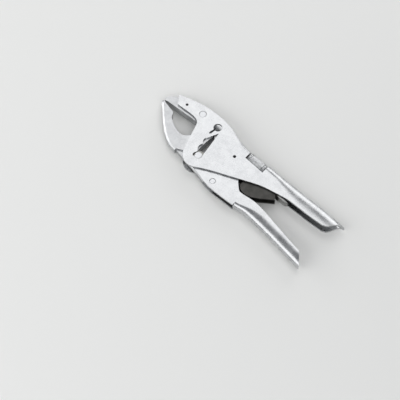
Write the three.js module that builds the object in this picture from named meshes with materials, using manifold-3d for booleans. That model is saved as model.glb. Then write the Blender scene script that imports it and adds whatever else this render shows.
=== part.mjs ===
// Locking pliers with an adjustable jaw pivot, lying flat, as a scene graph of separate pieces.
// Millimetres. +X runs from the jaws to the handle ends, +Y towards the fixed handle, +Z is the thickness.
// Outlines are drawn from the jaw tip, and the finished assembly is moved to its bottom centre at the end.
import * as THREE from "three";
import { mergeVertices } from "three/addons/utils/BufferGeometryUtils.js";
import Module from "manifold-3d";

const wasm = await Module();
wasm.setup();

// Driving dimensions
const overallLength = 235; // jaw tip to the end of the fixed handle
const frameWidth = 14; // over the two cheeks of the fixed handle
const frameSheet = 2; // steel sheet of the fixed handle
const handleSheet = 1.9; // steel sheet of the moving handle
const leverSheet = 1.6; // steel sheet of the release lever
const sideGap = 0.3; // between pieces that slide past each other
const boreGap = 0.2; // radial, between a pin and its hole

const jawPivot = { x: 70.6, y: -29.6, radius: 3.9 };
const handlePivot = { x: 100.5, y: -43, radius: 3.05 };
const togglePivot = { x: 117.6, y: -29.2, radius: 2.1 };
const linkPivot = { x: 154, y: -1.2, radius: 1.7 };
const fixedJawRivet = { x: 42.5, y: 11.2, radius: 3.7 };
const locatingPin = { x: 22.5, y: 9.7, radius: 1.3 };
const springAnchor = { x: 100, y: -7.4, radius: 1.5 };
const springHook = { x: 86, y: -30.5, radius: 1.1 };

const nutCentre = { x: 121.5, y: 2.2 };
const nutRadius = 6.8;
const nutLength = 22.4;
const nutCollar = 2.6; // smooth band at each end of the nut
const nutFlutes = 30;
const screwRadius = 2.5;
const screwReach = 17.5; // screw end in front of the nut's middle
const stopRingHeight = 0.6; // radial, past the screw
const grooveRadius = screwRadius - 0.5;
const grooveStart = 1; // both from the screw's front end
const grooveEnd = 2.4;
const eyeThickness = 2.2;
const eyeRadius = 3.6;
const linkHalf = 4.2; // half the width of the toggle link

const backStart = 78; // the two cheeks join in a folded back behind this
const gripStart = 133; // the moving handle's folded back starts here
const toothPitch = 1.6;
const toothDepth = 0.7;
const wireRadius = 0.45;
const coilRadius = 2;
const coilTurns = 8;

// Widths that follow from them
const middle = frameWidth / 2;
const frameInside = frameWidth - 2 * frameSheet;
const jawWidth = frameInside - 2 * sideGap;
const handleInside = jawWidth - 2 * handleSheet;
const linkWidth = handleInside - 2 * sideGap;
const leverWidth = linkWidth + 2 * sideGap + 2 * leverSheet;
const washerWidth = (frameInside - linkWidth) / 2 - 2 * sideGap;
const past = 5; // how far a cutting tool runs past what it cuts

const point = (x, y) => new THREE.Vector2(x, y);
const points = (pairs) => pairs.map(([x, y]) => point(x, y));

// A three.js geometry as a solid, with its shared corners merged.
function solid(geometry) {
  const bare = geometry.index ? geometry.toNonIndexed() : geometry.clone();
  bare.deleteAttribute("normal");
  bare.deleteAttribute("uv");
  const merged = mergeVertices(bare, 1e-4);
  return new wasm.Manifold(
    new wasm.Mesh({
      numProp: 3,
      vertProperties: merged.attributes.position.array,
      triVerts: new Uint32Array(merged.index.array),
    }),
  );
}

// A solid as a named mesh in its own colour.
function piece(name, body, finish) {
  const made = body.getMesh();
  const geometry = new THREE.BufferGeometry();
  geometry.setAttribute("position", new THREE.BufferAttribute(made.vertProperties, 3));
  geometry.setIndex(new THREE.BufferAttribute(made.triVerts, 1));
  const mesh = new THREE.Mesh(geometry, finish);
  mesh.name = name;
  return mesh;
}

// A flat outline made into a plate of a given width, centred across the tool.
function plate(shape, width, curveSegments = 3) {
  const geometry = new THREE.ExtrudeGeometry(shape, { depth: width, bevelEnabled: false, curveSegments });
  return solid(geometry.translate(0, 0, middle - width / 2));
}

// A round pin across the tool, centred on its width.
function pin(place, radius, width, sides = 28) {
  const geometry = new THREE.CylinderGeometry(radius, radius, width, sides);
  return solid(geometry.rotateX(Math.PI / 2).translate(place.x, place.y, middle));
}

function block(x0, x1, y0, y1, z0, z1) {
  const geometry = new THREE.BoxGeometry(x1 - x0, y1 - y0, z1 - z0);
  return solid(geometry.translate((x0 + x1) / 2, (y0 + y1) / 2, (z0 + z1) / 2));
}

const across = frameWidth + 2 * past;
const hole = (place, radius) => pin(place, radius, across);
const join = (first, ...rest) => rest.reduce((whole, part) => whole.add(part), first);
const cut = (body, ...tools) => tools.reduce((left, tool) => left.subtract(tool), body);

// A closed shape that runs through spline and straight stretches: each stretch is a list of corners.
function outline(...stretches) {
  const shape = new THREE.Shape();
  stretches.forEach(({ kind, at }, i) => {
    const corners = points(at);
    if (i === 0) shape.moveTo(corners[0].x, corners[0].y);
    if (kind === "curve") {
      if (i > 0) shape.lineTo(corners[0].x, corners[0].y);
      shape.splineThru(corners.slice(1));
      return;
    }
    corners.forEach((corner) => shape.lineTo(corner.x, corner.y));
  });
  return shape;
}
const curve = (...at) => ({ kind: "curve", at });
const line = (...at) => ({ kind: "line", at });

// A row of saw teeth from one end of a working edge to the other, cut to the given side.
function teeth(from, to, depth) {
  const along = point(to[0] - from[0], to[1] - from[1]);
  const count = Math.round(along.length() / toothPitch);
  const side = point(-along.y, along.x).normalize().multiplyScalar(depth);
  const row = [];
  for (let i = 0; i < count; i++) {
    const t = i / count;
    const root = (i + 0.5) / count;
    row.push([from[0] + along.x * t, from[1] + along.y * t]);
    row.push([from[0] + along.x * root + side.x, from[1] + along.y * root + side.y]);
  }
  row.push(to);
  return line(...row);
}

// Sections of a folded sheet seen along X: flat sides that round over into a back.
// towards is +1 where the back faces +Y and -1 where it faces -Y.
const roundSteps = 5;
const crestFlat = 0.05;
function foldSection({ back, crown, half }, towards, inset) {
  const wide = Math.max(half - inset, 0.5);
  const deep = Math.max(crown - inset, 0.4);
  const corner = Math.min(wide - crestFlat, deep);
  const crest = back - towards * inset;
  const ring = [[crest - towards * 90, -wide]];
  for (let i = 0; i <= roundSteps; i++) {
    const turn = (i / roundSteps) * (Math.PI / 2);
    ring.push([crest - towards * deep * (1 - Math.sin(turn)), -(wide - corner) - corner * Math.cos(turn)]);
  }
  const mirrored = ring.map(([y, z]) => [y, -z]).reverse();
  return ring.concat(mirrored);
}

// A solid through such sections, closed at both ends.
function foldedSheet(stations, towards, inset) {
  const rings = stations.map((station) => foldSection(station, towards, inset));
  const count = rings[0].length;
  const positions = rings.flatMap((ring, i) => ring.flatMap(([y, z]) => [stations[i].x, y, middle + z]));
  const faces = [];
  const side = (a, b, c) => (towards > 0 ? faces.push(a, b, c) : faces.push(a, c, b));
  for (let i = 0; i < rings.length - 1; i++) {
    for (let j = 0; j < count; j++) {
      const a = i * count + j;
      const b = i * count + ((j + 1) % count);
      side(a, b, a + count);
      side(b, b + count, a + count);
    }
  }
  const cap = THREE.ShapeUtils.triangulateShape(points(rings[0]), []);
  const last = (rings.length - 1) * count;
  cap.forEach(([a, b, c]) => {
    faces.push(a, c, b);
    faces.push(last + a, last + b, last + c);
  });
  const geometry = new THREE.BufferGeometry();
  geometry.setAttribute("position", new THREE.Float32BufferAttribute(positions, 3));
  geometry.setIndex(faces);
  return solid(geometry);
}

// The height of a smooth line at x.
function heightAt(corners, x) {
  const samples = new THREE.SplineCurve(points(corners)).getPoints(240);
  const next = samples.findIndex((sample) => sample.x >= x);
  if (next <= 0) return samples[next === 0 ? 0 : samples.length - 1].y;
  const [a, b] = [samples[next - 1], samples[next]];
  return a.y + ((b.y - a.y) * (x - a.x)) / (b.x - a.x);
}
const ramp = (x, from, to) => THREE.MathUtils.smoothstep(x, from, to);
const share = (from, to, t) => from + (to - from) * t;
const spread = (from, to, count) =>
  Array.from({ length: count }, (_, i) => share(from, to, i / (count - 1)));

// Finishes
const finish = (color, roughness, metalness) =>
  new THREE.MeshStandardMaterial({ color, roughness, metalness });
const satinNickel = finish("#c9cacb", 0.38, 1);
const ground = finish("#d6d7d8", 0.3, 1);
const brightNut = finish("#dcdddd", 0.25, 1);
const blackOxide = finish("#2b2b2c", 0.5, 0.8);
const springSteel = finish("#8e8f92", 0.35, 1);

// Fixed handle: one sheet folded along its back, with the jaw end left as two open cheeks
const gripEnd = overallLength;
const topEdge = [[8.2, 13.9], [18.4, 16.6], [33.1, 19.7], [49.3, 20.6], [66, 19.2], [backStart + 2, 15.8]];
const backLine = [
  ...[[66, 19.2], [backStart + 2, 15.8], [91, 11.7], [103, 9], [113, 8.5], [133, 8.9]],
  ...[[156, 7.2], [181, 5.7], [207, 4.3], [gripEnd, 1.6], [gripEnd + 2, 1.5]],
];
const keyhole = { x: 64.9, y: 8.4, radius: 4.6 };
const wedgeLeft = [[64.6, -7.4], [65.4, -16], [66.8, -26.4]];

function fixedHandle() {
  const cheek = outline(
    curve(...topEdge),
    line([backStart + 2, 60], [gripEnd, 60], [gripEnd, 0.3]),
    curve([gripEnd, 0.3], [gripEnd - 3.4, 0], [gripEnd - 7, -2.6], [gripEnd - 10.2, -7]),
    curve([gripEnd - 10.2, -7], [gripEnd - 13.4, -11], [gripEnd - 18, -12.9]),
    curve([gripEnd - 18, -12.9], [200, -13], [185, -12.3], [172, -12.2], [156, -14.4], [141, -17.3]),
    curve([141, -17.3], [121, -24.5], [108.3, -29.3], [95.5, -34], [84, -38.9]),
    curve([84, -38.9], [75.6, -43.1], [70, -44.8], [63.4, -43.6], [58, -39.4], [54.3, -33.4]),
    line([54.3, -33.4], [45.6, -3.2]),
    curve([45.6, -3.2], [44.3, -0.5], [41.6, 1.9], [37.2, 3.3], [31, 4]),
    curve([31, 4], [16.4, 4], [14.7, 4.3], [13.8, 5.4]),
  );
  const stations = spread(backStart, gripEnd + 1, 14).map((x) => ({
    x,
    back: heightAt(backLine, x),
    crown: 2.4 + 4.6 * ramp(x, 88, 140) + 7 * ramp(x, 158, 195),
    half: middle,
  }));
  const head = block(-past, backStart + 1, -80, 60, 0, frameWidth);
  const skin = plate(cheek, across).intersect(join(head, foldedSheet(stations, 1, 0)));
  const channel = screwRadius + stopRingHeight + sideGap;
  const mouth = block(-past, backStart + 0.5, -90, 70, frameSheet, frameWidth - frameSheet);
  return cut(
    skin,
    mouth,
    foldedSheet(stations, 1, frameSheet),
    plate(pivotSlot(), across),
    hole(keyhole, keyhole.radius),
    plate(keySlit(), across),
    hole(fixedJawRivet, fixedJawRivet.radius + boreGap),
    hole(locatingPin, locatingPin.radius + boreGap),
    hole(springAnchor, springAnchor.radius + boreGap),
    nutWindow(),
    onScrew(new THREE.CylinderGeometry(channel, channel, 60, 32)),
  );
}

// The pivot pin can sit in one of three round pockets along a wedge-shaped slot.
function pivotSlot() {
  const shape = new THREE.Shape();
  const pocket = jawPivot.radius + boreGap;
  shape.moveTo(70.3, 3.6);
  shape.lineTo(wedgeLeft[0][0], wedgeLeft[0][1]);
  shape.quadraticCurveTo(60.4, -11.6, wedgeLeft[1][0], wedgeLeft[1][1]);
  shape.quadraticCurveTo(61.6, -21.4, wedgeLeft[2][0], wedgeLeft[2][1]);
  shape.lineTo(66.2, -28.2);
  shape.quadraticCurveTo(63.4, -32, 67.2, -34);
  shape.absarc(jawPivot.x, jawPivot.y, pocket, Math.PI * 1.25, Math.PI * 2.14, false);
  return shape;
}

function keySlit() {
  const { x, y } = keyhole;
  return outline(
    line([x - 2.1, y - 3], [x - 2.5, y - 6.2], [x - 3.2, y - 8.6], [x - 2.9, y - 10.8]),
    line([x - 1.3, y - 10.6], [x - 0.5, y - 7.8], [x, y - 3]),
  );
}

// Screw axis, from the middle of the nut to the pin in the screw's eye
const screwSlope = Math.atan2(linkPivot.y - nutCentre.y, linkPivot.x - nutCentre.x);
function onScrew(geometry) {
  return solid(geometry.rotateZ(screwSlope - Math.PI / 2).translate(nutCentre.x, nutCentre.y, middle));
}

// Opening for the nut, through both cheeks and the back.
function nutWindow() {
  const lean = nutRadius * Math.abs(Math.sin(screwSlope));
  const half = (nutLength / 2) * Math.cos(screwSlope) + lean + sideGap;
  const chord = Math.sqrt(nutRadius ** 2 - (middle - frameSheet) ** 2) + sideGap;
  const fall = Math.tan(screwSlope);
  const floor = nutCentre.y - chord / Math.cos(screwSlope);
  const [front, rear] = [nutCentre.x - half, nutCentre.x + half];
  const sill = [[front, floor - half * fall], [rear, floor + half * fall]];
  return plate(outline(line(...sill, [rear, 60], [front, 60])), across);
}

// Fixed jaw: a forging held between the cheeks by one rivet and a locating pin
function fixedJaw() {
  const shape = outline(
    curve([0.1, 0.3], [-0.8, 1.6], [-0.9, 3.6], [0.5, 6.3], [3.4, 9.1], [6.8, 10.6]),
    curve([6.8, 10.6], [12, 12.9], [18.4, 14.9], [33.1, 17.8], [49.3, 18.6], [54.6, 17.8]),
    curve([54.6, 17.8], [57.8, 15.6], [59, 11.8], [58.6, 7.4], [56, 4]),
    curve([56, 4], [52, 3.2], [45, 2.6], [40.6, 1.3]),
    teeth([38.6, 0.9], [2, 0.9], -toothDepth),
  );
  const body = plate(shape, jawWidth);
  const rivetHole = hole(fixedJawRivet, fixedJawRivet.radius + boreGap);
  return cut(body, rivetHole, hole(locatingPin, locatingPin.radius + boreGap));
}

// Moving jaw: a thick hooked head with a bevelled outer rim, and a thinner tail to the handle rivet
const headHollow = [
  ...[[44.4, -19], [39.9, -20.6], [34.3, -19.8], [28.8, -17.7]],
  ...[[22.4, -13.9], [19.3, -11.2], [18.2, -9.6]],
];
const lobe = [[65.6, -24], [65.7, -13], [66.6, -6], [68, -0.6]];
const rimDepth = 1.4; // the bevel round the head, across the tool
const rimWidth = 1.7; // and along its face
function movingJaw() {
  const face = outline(
    curve([0.9, 4], [-0.3, 0.5], [0.2, -1.9], [3, -4.8], [7.4, -9.4], [16, -18.6], [25.4, -27.2],
      [34.9, -33.6]),
    curve([34.9, -33.6], [40.4, -35.9], [47, -37.4]),
    line([80, -40], [80, 8]),
  );
  const waist = { depth: jawWidth - 2 * rimDepth, curveSegments: 3 };
  const rim = { bevelEnabled: true, bevelThickness: rimDepth, bevelSize: rimWidth, bevelSegments: 1 };
  const forged = new THREE.ExtrudeGeometry(face, { ...waist, ...rim });
  const rimmed = solid(forged.translate(0, 0, middle - waist.depth / 2));
  const head = outline(
    line([-9, 1], [-9, -50], [46.2, -50], [46.8, -37], [53, -34.4], [63.4, -33.4], [66.4, -31]),
    line([66.4, -27], ...lobe),
    curve([68, -0.6], [64, 0], [58, -2.4], [53.3, -7], [49.4, -13.6], ...headHollow),
    curve([18.2, -9.6], [17.1, -6.5], [14.4, -4.5]),
    teeth([14.4, -4.5], [2, -0.8], toothDepth),
    line([0.4, -0.2], [-3, -0.2]),
  );
  const clearance = pin(jawPivot, jawPivot.radius + 3.6, across, 48);
  const thick = cut(plate(head, across).intersect(rimmed), clearance);
  const tail = outline(
    curve([48, -20], [58, -20.5], [66, -23], [71, -22], [75.4, -23.4], [79, -26.4]),
    curve([79, -26.4], [83.2, -27.2], [86.6, -27.2], [89.4, -29.6], [91, -34], [95.4, -38.4]),
    curve([95.4, -38.4], [101, -36.9], [105.6, -39.6], [106.6, -43.4], [104.4, -47.8], [100, -49.2],
      [95.2, -47.6]),
    line([92.2, -46.8], [92, -48.1]),
    curve([92, -48.1], [88, -46.9], [80, -44.8], [73, -43.3], [67, -42.3], [58.2, -40], [52, -38.5]),
    line([46, -37.2], [38, -30]),
  );
  const body = join(thick, plate(tail, linkWidth));
  const reach = new THREE.Vector2(springAnchor.x - springHook.x, springAnchor.y - springHook.y);
  const slot = new THREE.BoxGeometry(12, 5.4, 2 * wireRadius + 1.6).translate(3.6, 0, 0);
  const hookSlot = solid(slot.rotateZ(reach.angle()).translate(springHook.x, springHook.y, middle));
  const mark = cut(pin({ x: 46.5, y: -26.9 }, 3.1, across), pin({ x: 46.5, y: -26.9 }, 2.7, across + 2));
  const marks = mark.intersect(block(40, 53, -34, -20, middle + jawWidth / 2 - 0.15, frameWidth));
  return cut(
    body,
    hookSlot,
    marks,
    hole(jawPivot, jawPivot.radius + boreGap),
    hole(handlePivot, handlePivot.radius + boreGap),
    hole(springHook, springHook.radius + boreGap),
  );
}

// Moving handle: two cheeks that pass between those of the fixed handle, flaring into a folded grip
const gripBack = [
  ...[[130, -51.5], [146, -51.3], [160, -52.4], [177, -54.8], [196, -58.1], [216, -61.9]],
  ...[[gripEnd - 8, -63.8], [gripEnd, -65.2]],
];
function movingHandle() {
  const cheek = outline(
    curve([76.6, -43.9], [85, -45.9], [94, -48.8], [103, -50.5], [112, -51.1], [gripStart + 1, -51.5]),
    line([gripStart + 1, -90], [gripEnd - 7.4, -90], [gripEnd - 7.4, -63.2], [gripEnd - 16, -51.9]),
    curve([gripEnd - 16, -51.9], [gripEnd - 17.6, -50.5], [205, -47.8], [185, -43], [164, -37.9],
      [152, -35.8]),
    curve([152, -35.8], [144, -35.3], [133, -35.3], [128.4, -34.4], [124.9, -31.2], [121.4, -27.6],
      [119, -24.6]),
    curve([119, -24.6], [116.6, -22.6], [112, -22.8], [100, -26], [89, -29.8], [82.6, -35]),
    curve([82.6, -35], [78.4, -38.6], [75.9, -42.2]),
  );
  const flareAt = (x) => jawWidth / 2 + (middle - jawWidth / 2) * ramp(x, 128, 152);
  const flat = [75, 129, gripStart + 0.4].map((x) => ({ x, back: -90, crown: 5, half: flareAt(x) }));
  const grip = spread(gripStart, gripEnd, 14).map((x) => ({
    x,
    back: heightAt(gripBack, x),
    crown: 5 + 4 * ramp(x, 150, 200),
    half: flareAt(x),
  }));
  const skin = join(foldedSheet(flat, -1, 0), foldedSheet(grip, -1, 0));
  const inside = join(foldedSheet(flat, -1, handleSheet), foldedSheet(grip, -1, handleSheet));
  return cut(plate(cheek, across).intersect(skin), inside, hole(handlePivot, handlePivot.radius + boreGap));
}

// Toggle link: a forged bar from the moving handle to the screw, forked round the screw's eye
const linkSlope = Math.atan2(linkPivot.y - togglePivot.y, linkPivot.x - togglePivot.x);
const forkRadius = (linkHalf + screwRadius + 2 * sideGap) / Math.sin(linkSlope - screwSlope);
function toggleLink() {
  const shape = new THREE.Shape();
  const [left, right] = [linkSlope + Math.PI / 2, linkSlope - Math.PI / 2];
  shape.absarc(togglePivot.x, togglePivot.y, linkHalf, left, right + Math.PI * 2, false);
  shape.absarc(linkPivot.x, linkPivot.y, linkHalf, right, left, false);
  return cut(
    plate(shape, linkWidth, 8),
    pin(linkPivot, forkRadius, eyeThickness + 2 * sideGap),
    hole(togglePivot, togglePivot.radius + boreGap),
    hole(linkPivot, linkPivot.radius + boreGap),
  );
}

// Release lever: a stamping that straddles the link, ending in a rounded tongue under the fixed handle
function releaseLever() {
  const side = new THREE.Shape();
  side.absarc(linkPivot.x, linkPivot.y, 3.2, -0.1, Math.PI * 0.72, false);
  side.splineThru(points([[140, -9], [126.4, -20.6]]));
  side.splineThru(points([[124.4, -24], [124.8, -28.4], [127.6, -31.6], [131.4, -33.4]]));
  side.splineThru(points([[136, -33.7], [142.4, -32.2], [149.4, -28.2], [156, -23.8], [162.6, -19.4]]));
  side.lineTo(158.4, -13.2);
  side.lineTo(158.4, -10);
  const cheeks = cut(plate(side, leverWidth), plate(side, leverWidth - 2 * leverSheet));
  const tongue = new THREE.Shape();
  const half = leverWidth / 2;
  tongue.moveTo(155.4, -half);
  tongue.lineTo(168.4, -half);
  tongue.bezierCurveTo(172.6, -half, 174.6, -half * 0.6, 174.6, 0);
  tongue.bezierCurveTo(174.6, half * 0.6, 172.6, half, 168.4, half);
  tongue.lineTo(155.4, half);
  const sheet = { depth: leverSheet, bevelEnabled: false, curveSegments: 10 };
  const web = new THREE.ExtrudeGeometry(tongue, sheet).rotateX(Math.PI / 2);
  return cut(
    join(cheeks, solid(web.translate(0, -13.2 + leverSheet, middle))),
    hole(linkPivot, linkPivot.radius + boreGap),
  );
}

// Adjusting screw: its rear end is flattened into an eye for the link pin
function adjustingScrew() {
  const reach = Math.hypot(linkPivot.x - nutCentre.x, linkPivot.y - nutCentre.y);
  const shoulder = reach - forkRadius - sideGap;
  const tip = -screwReach;
  const profile = points([
    ...[[0, tip], [grooveRadius, tip], [screwRadius, tip + 0.4], [screwRadius, tip + grooveStart]],
    ...[[grooveRadius, tip + grooveStart], [grooveRadius, tip + grooveEnd]],
    ...[[screwRadius, tip + grooveEnd], [screwRadius, shoulder], [0, shoulder]],
  ]);
  const shank = new THREE.LatheGeometry(profile, 28);
  const flat = new THREE.BoxGeometry(2 * screwRadius, forkRadius + 2, eyeThickness);
  const body = join(
    onScrew(shank),
    onScrew(flat.translate(0, reach - forkRadius / 2 - 1, 0)),
    pin(linkPivot, eyeRadius, eyeThickness),
  );
  return cut(body, hole(linkPivot, linkPivot.radius + boreGap));
}

// Knurled nut between two smooth collars, turned by the thumb in its window
function adjustingNut() {
  const flutes = new THREE.Shape();
  for (let i = 0; i < nutFlutes; i++) {
    const turn = (i / nutFlutes) * Math.PI * 2;
    const half = Math.PI / nutFlutes;
    const crest = point(nutRadius * Math.cos(turn), nutRadius * Math.sin(turn));
    const root = point((nutRadius - 0.5) * Math.cos(turn + half), (nutRadius - 0.5) * Math.sin(turn + half));
    if (i === 0) flutes.moveTo(crest.x, crest.y);
    else flutes.lineTo(crest.x, crest.y);
    flutes.lineTo(root.x, root.y);
  }
  const knurl = new THREE.ExtrudeGeometry(flutes, { depth: nutLength - 2 * nutCollar, bevelEnabled: false });
  knurl.translate(0, 0, -nutLength / 2 + nutCollar).rotateX(Math.PI / 2);
  const inner = nutLength / 2 - nutCollar;
  const [end, face, smooth, neck] = [nutLength / 2, nutRadius - 1.2, nutRadius - 0.5, nutRadius - 1.1];
  const collar = points([
    ...[[0, -end], [face, -end], [smooth, -end + 0.7], [smooth, -inner - 0.8], [neck, -inner]],
    ...[[neck, inner], [smooth, inner + 0.8], [smooth, end - 0.7], [face, end], [0, end]],
  ]);
  const bore = new THREE.CylinderGeometry(screwRadius + boreGap, screwRadius + boreGap, nutLength + 2, 28);
  return cut(join(onScrew(knurl), onScrew(new THREE.LatheGeometry(collar, 36))), onScrew(bore));
}

// A ring sprung into a groove near the screw's front end, so that it can't be wound out of the nut
function stopRing() {
  const inner = grooveRadius + boreGap;
  const outer = screwRadius + stopRingHeight;
  const front = grooveStart + sideGap;
  const back = grooveEnd - sideGap;
  const profile = points([[inner, front], [outer, front], [outer, back], [inner, back], [inner, front]]);
  return onScrew(new THREE.LatheGeometry(profile, 28).translate(0, -screwReach, 0));
}

// Return spring: a close tension coil with a loop at each end
function returnSpring() {
  const start = point(springAnchor.x, springAnchor.y);
  const reach = point(springHook.x, springHook.y).sub(start);
  const length = reach.length();
  const axis = new THREE.Vector3(reach.x, reach.y, 0).normalize();
  const sideways = new THREE.Vector3(-axis.y, axis.x, 0);
  const up = new THREE.Vector3(0, 0, 1);
  const origin = new THREE.Vector3(start.x, start.y, middle);
  function spot(along, sidewise, height) {
    const placed = origin.clone().addScaledVector(axis, along);
    return placed.addScaledVector(sideways, sidewise).addScaledVector(up, height);
  }
  const route = [];
  const anchorLoop = springAnchor.radius + sideGap + wireRadius;
  const hookLoop = springHook.radius + sideGap + wireRadius;
  for (let i = 0; i <= 9; i++) {
    const turn = 0.5 + (i / 9) * (Math.PI * 1.5);
    route.push(spot(anchorLoop * Math.cos(turn), anchorLoop * Math.sin(turn), 0));
  }
  const from = anchorLoop + 3;
  const to = length - hookLoop - 3;
  const steps = coilTurns * 12;
  for (let i = 0; i <= steps; i++) {
    const turn = (i / 12) * Math.PI * 2;
    const along = from + ((to - from) * i) / steps;
    route.push(spot(along, coilRadius * Math.cos(turn), coilRadius * Math.sin(turn)));
  }
  for (let i = 0; i <= 9; i++) {
    const turn = Math.PI * 0.6 - (i / 9) * (Math.PI * 1.5);
    route.push(spot(length + hookLoop * Math.cos(turn), hookLoop * Math.sin(turn), 0));
  }
  const wire = new THREE.Shape();
  wire.absarc(0, 0, wireRadius, 0, Math.PI * 2, false);
  const extrudePath = new THREE.CatmullRomCurve3(route);
  return solid(new THREE.ExtrudeGeometry(wire, { steps: 96, extrudePath, curveSegments: 3 }));
}

function washer(level) {
  const blank = pin(jawPivot, jawPivot.radius + 2.6, washerWidth);
  const ring = cut(blank, hole(jawPivot, jawPivot.radius + boreGap));
  return ring.translate([0, 0, level]);
}
const washerLevel = (linkWidth + frameInside) / 4;

const assembly = new THREE.Group();
assembly.add(
  piece("fixed_handle", fixedHandle(), satinNickel),
  piece("fixed_jaw", fixedJaw(), satinNickel),
  piece("fixed_jaw_rivet", pin(fixedJawRivet, fixedJawRivet.radius, frameWidth), ground),
  piece("fixed_jaw_locating_pin", pin(locatingPin, locatingPin.radius, frameWidth - 1.6), blackOxide),
  piece("moving_jaw", movingJaw(), satinNickel),
  piece("jaw_pivot_pin", pin(jawPivot, jawPivot.radius, frameWidth), ground),
  piece("jaw_pivot_washer_near", washer(washerLevel), ground),
  piece("jaw_pivot_washer_far", washer(-washerLevel), ground),
  piece("moving_handle", movingHandle(), satinNickel),
  piece("handle_rivet", pin(handlePivot, handlePivot.radius, jawWidth), ground),
  piece("toggle_link", toggleLink(), blackOxide),
  piece("toggle_pin", pin(togglePivot, togglePivot.radius, linkWidth + 0.2), ground),
  piece("link_eye_pin", pin(linkPivot, linkPivot.radius, leverWidth), ground),
  piece("adjusting_screw", adjustingScrew(), springSteel),
  piece("screw_stop_ring", stopRing(), springSteel),
  piece("adjusting_nut", adjustingNut(), brightNut),
  piece("release_lever", releaseLever(), blackOxide),
  piece("return_spring", returnSpring(), springSteel),
  piece("spring_anchor_pin", pin(springAnchor, springAnchor.radius, frameWidth - 1.6), blackOxide),
  piece("spring_hook_pin", pin(springHook, springHook.radius, linkWidth), ground),
);

// The origin is the middle of the whole tool, on the surface it lies on.
const box = new THREE.Box3().setFromObject(assembly);
assembly.position.set(-(box.min.x + box.max.x) / 2, -(box.min.y + box.max.y) / 2, -box.min.z);
const pliers = new THREE.Group();
pliers.add(assembly);

export default pliers;
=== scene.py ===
import math

import bmesh
import bpy
from mathutils import Matrix, Vector


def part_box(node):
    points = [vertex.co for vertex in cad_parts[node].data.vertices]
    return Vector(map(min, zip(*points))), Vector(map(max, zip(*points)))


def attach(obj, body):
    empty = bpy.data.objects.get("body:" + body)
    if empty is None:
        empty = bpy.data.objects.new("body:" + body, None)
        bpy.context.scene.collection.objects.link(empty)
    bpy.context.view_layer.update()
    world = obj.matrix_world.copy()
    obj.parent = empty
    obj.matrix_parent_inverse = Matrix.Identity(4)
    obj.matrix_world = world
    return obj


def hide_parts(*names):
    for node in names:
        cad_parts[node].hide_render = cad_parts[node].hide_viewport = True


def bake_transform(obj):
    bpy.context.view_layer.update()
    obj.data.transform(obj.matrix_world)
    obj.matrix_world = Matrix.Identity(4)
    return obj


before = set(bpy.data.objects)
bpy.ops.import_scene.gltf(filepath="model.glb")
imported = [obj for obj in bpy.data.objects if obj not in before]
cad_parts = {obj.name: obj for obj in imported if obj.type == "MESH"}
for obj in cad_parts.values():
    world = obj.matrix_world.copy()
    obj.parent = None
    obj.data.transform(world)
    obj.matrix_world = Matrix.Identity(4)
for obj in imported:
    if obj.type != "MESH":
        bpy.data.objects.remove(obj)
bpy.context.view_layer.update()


# Camera and studio: a long lens looks down at 60 degrees on the tool, which lies on a pale bench.
# A big soft panel stands where the flat cheeks mirror it, and smaller ones draw the bands on the round grips.
def linear(code):
    """An sRGB hex colour as the linear values that Blender takes."""
    parts = [int(code[i : i + 2], 16) / 255 for i in (1, 3, 5)]
    return [c / 12.92 if c <= 0.04045 else ((c + 0.055) / 1.055) ** 2.4 for c in parts] + [1.0]


def add_node(tree, kind, settings=None, links=None):
    """Adds a node, sets its sockets or properties by name, and links sources into it."""
    made = tree.nodes.new(kind)
    for name, value in (settings or {}).items():
        if isinstance(name, int) or name in made.inputs:
            made.inputs[name].default_value = value
        else:
            setattr(made, name, value)
    for name, source in (links or {}).items():
        tree.links.new(source, made.inputs[name])
    return made


def new_material(name):
    """An empty node material, and its node tree."""
    made = bpy.data.materials.new(name)
    made.use_nodes = True
    made.node_tree.nodes.clear()
    return made, made.node_tree


def two_tone(tree, source, low, dark, high, light):
    """A ramp from a darker to a lighter tone, with the places on it where each is reached."""
    ramp_node = add_node(tree, "ShaderNodeValToRGB", links={"Fac": source})
    for stop, place, code in zip(ramp_node.color_ramp.elements, (low, high), (dark, light)):
        stop.position = place
        stop.color = linear(code)
    return ramp_node


heading = math.radians(39.94)
elevation = math.radians(60)
aim = Vector((-0.0158, -0.0413, 0))
camera_distance = 1.822
towards_camera = Vector((
    math.sin(heading) * math.cos(elevation),
    -math.cos(heading) * math.cos(elevation),
    math.sin(elevation),
))
lens = bpy.data.cameras.new("camera")
lens.lens = 162
lens.sensor_width = 36
lens.clip_start = 0.05
camera = bpy.data.objects.new("camera", lens)
camera.location = aim + towards_camera * camera_distance
camera.rotation_euler = (-towards_camera).to_track_quat("-Z", "Y").to_euler()
bpy.context.scene.collection.objects.link(camera)
bpy.context.scene.camera = camera


def soft_panel(name, direction, distance, length, height, power):
    """A rectangular light that faces the tool, with its long side along it, in metres and watts."""
    light = bpy.data.lights.new(name, "AREA")
    light.shape = "RECTANGLE"
    light.size = length
    light.size_y = height
    light.energy = power
    holder = bpy.data.objects.new(name, light)
    away = Vector(direction).normalized()
    along = Vector((1, 0, 0)) if abs(away.x) < 0.9 else Vector((0, 1, 0))
    along = (along - away * along.dot(away)).normalized()
    turn = Matrix((along, away.cross(along), away)).transposed().to_4x4()
    holder.matrix_world = Matrix.Translation(away * distance) @ turn
    holder.visible_camera = False
    bpy.context.scene.collection.objects.link(holder)


soft_panel("overhead_panel", (-towards_camera.x, -towards_camera.y, towards_camera.z), 1.3, 1.25, 0.62, 3.5)
soft_panel("far_side_panel", (-0.27, 0.9, 0.33), 1.3, 1.4, 0.66, 5.2)
soft_panel("near_side_panel", (-0.3, -0.8, 0.52), 1.3, 1.4, 0.85, 6.4)
soft_panel("camera_side_panel", (0.55, -0.35, 0.76), 1.6, 1.0, 0.8, 6.5)
soft_panel("jaw_end_panel", (-0.95, -0.3, 0.22), 1.2, 0.9, 0.4, 3.6)

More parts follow.
